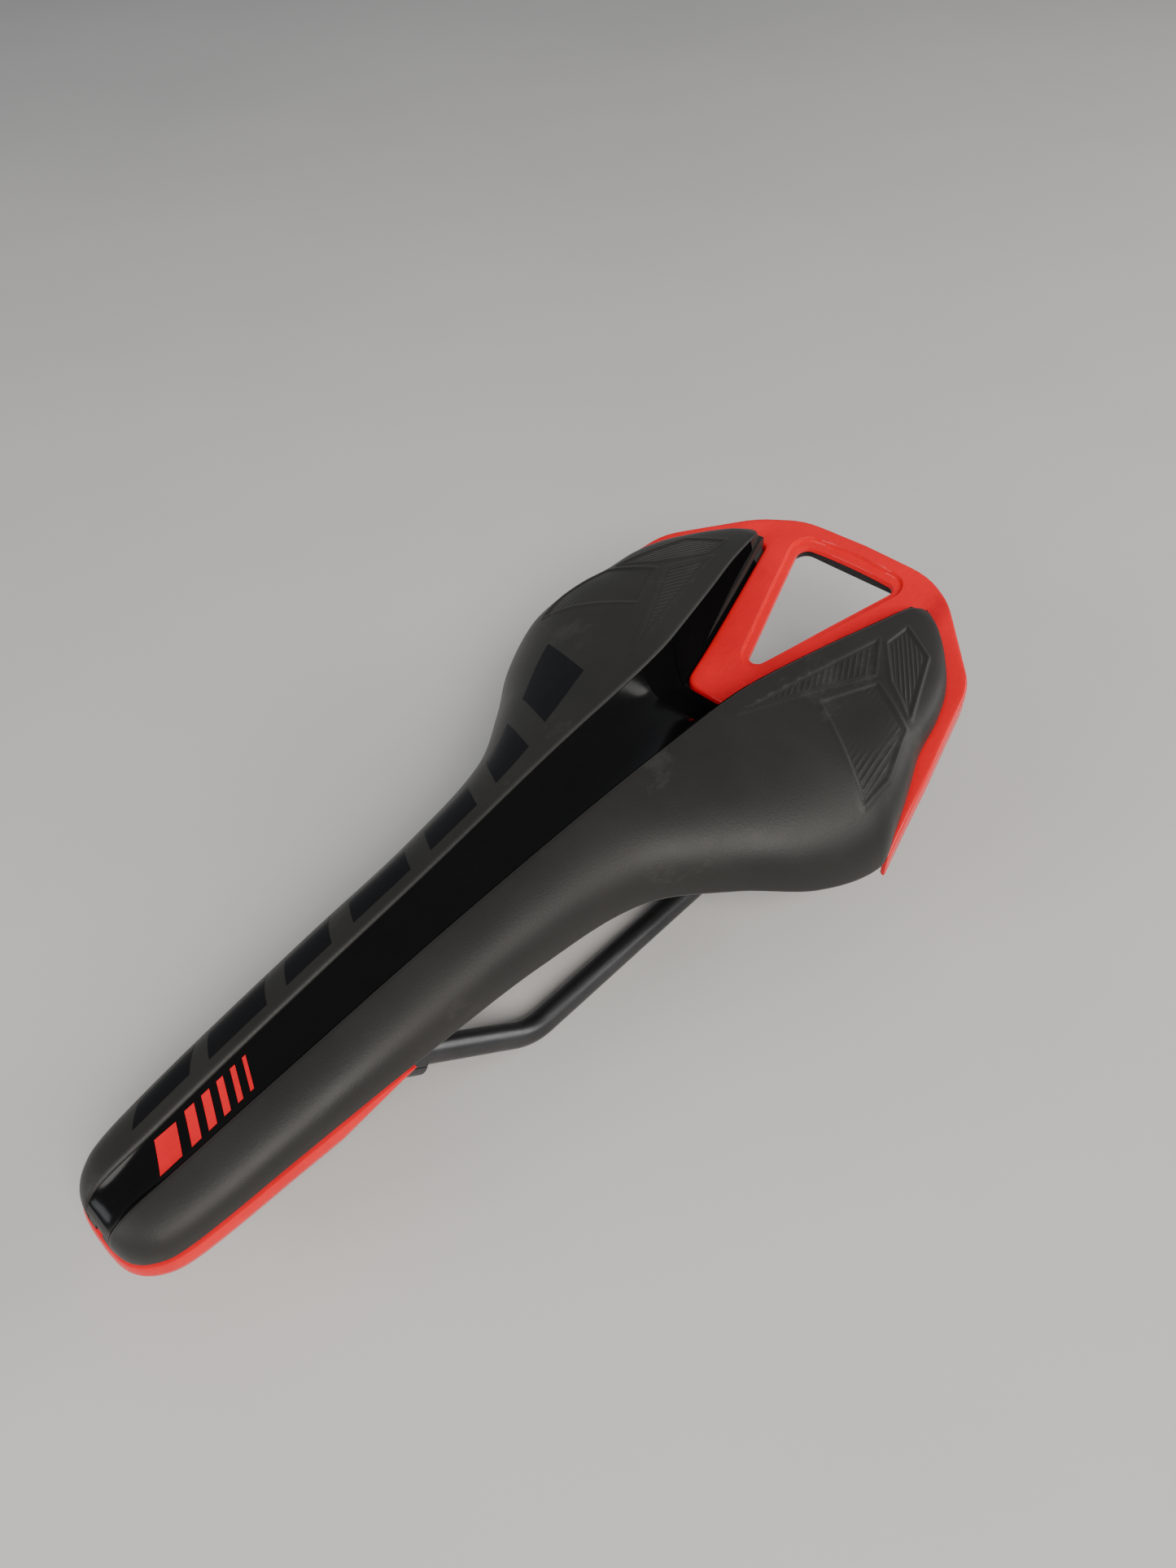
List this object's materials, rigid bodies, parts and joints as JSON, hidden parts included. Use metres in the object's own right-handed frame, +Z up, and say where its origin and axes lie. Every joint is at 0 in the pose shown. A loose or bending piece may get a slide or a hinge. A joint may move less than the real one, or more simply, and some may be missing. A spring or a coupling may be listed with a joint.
{
  "type": "bicycle saddle",
  "caption": "Road bicycle saddle: matte black cover split by a gloss channel, red tail frame with a window, red nose trim, ribbed shell underneath and metal rails.",
  "frame": {"origin": "on the ground plane under the middle of the bounding box, between the two rails", "axes": "+Z up, +Y towards the wide tail, -Y towards the nose, X across the saddle; the straight stretch of each rail runs along Y"},
  "size_m": [0.136, 0.277, 0.0572],
  "materials": {
    "microfibre": "matte",
    "foam": "matte foam",
    "shell_nylon": "satin moulded nylon",
    "gloss_black": "gloss",
    "gloss_red": "gloss",
    "rail_metal": "dark satin",
    "socket_nylon": "satin moulded nylon",
    "screw_steel": "satin"
  },
  "bodies": {
    "root": {"base_shell": "shell_nylon", "foam_left": "foam", "foam_right": "foam", "cover_left": "microfibre", "cover_right": "microfibre", "centre_strip": "gloss_black", "rear_frame": "gloss_red", "nose_trim": "gloss_red", "rail_left": "rail_metal", "rail_right": "rail_metal", "nose_socket": "socket_nylon", "nose_clamp_plate": "socket_nylon", "nose_clamp_screws": "screw_steel", "rear_socket_left": "socket_nylon", "rear_socket_right": "socket_nylon", "rear_socket_screws": "screw_steel", "rear_frame_screws": "screw_steel", "nose_trim_screw": "screw_steel"}
  },
  "joints": []
}
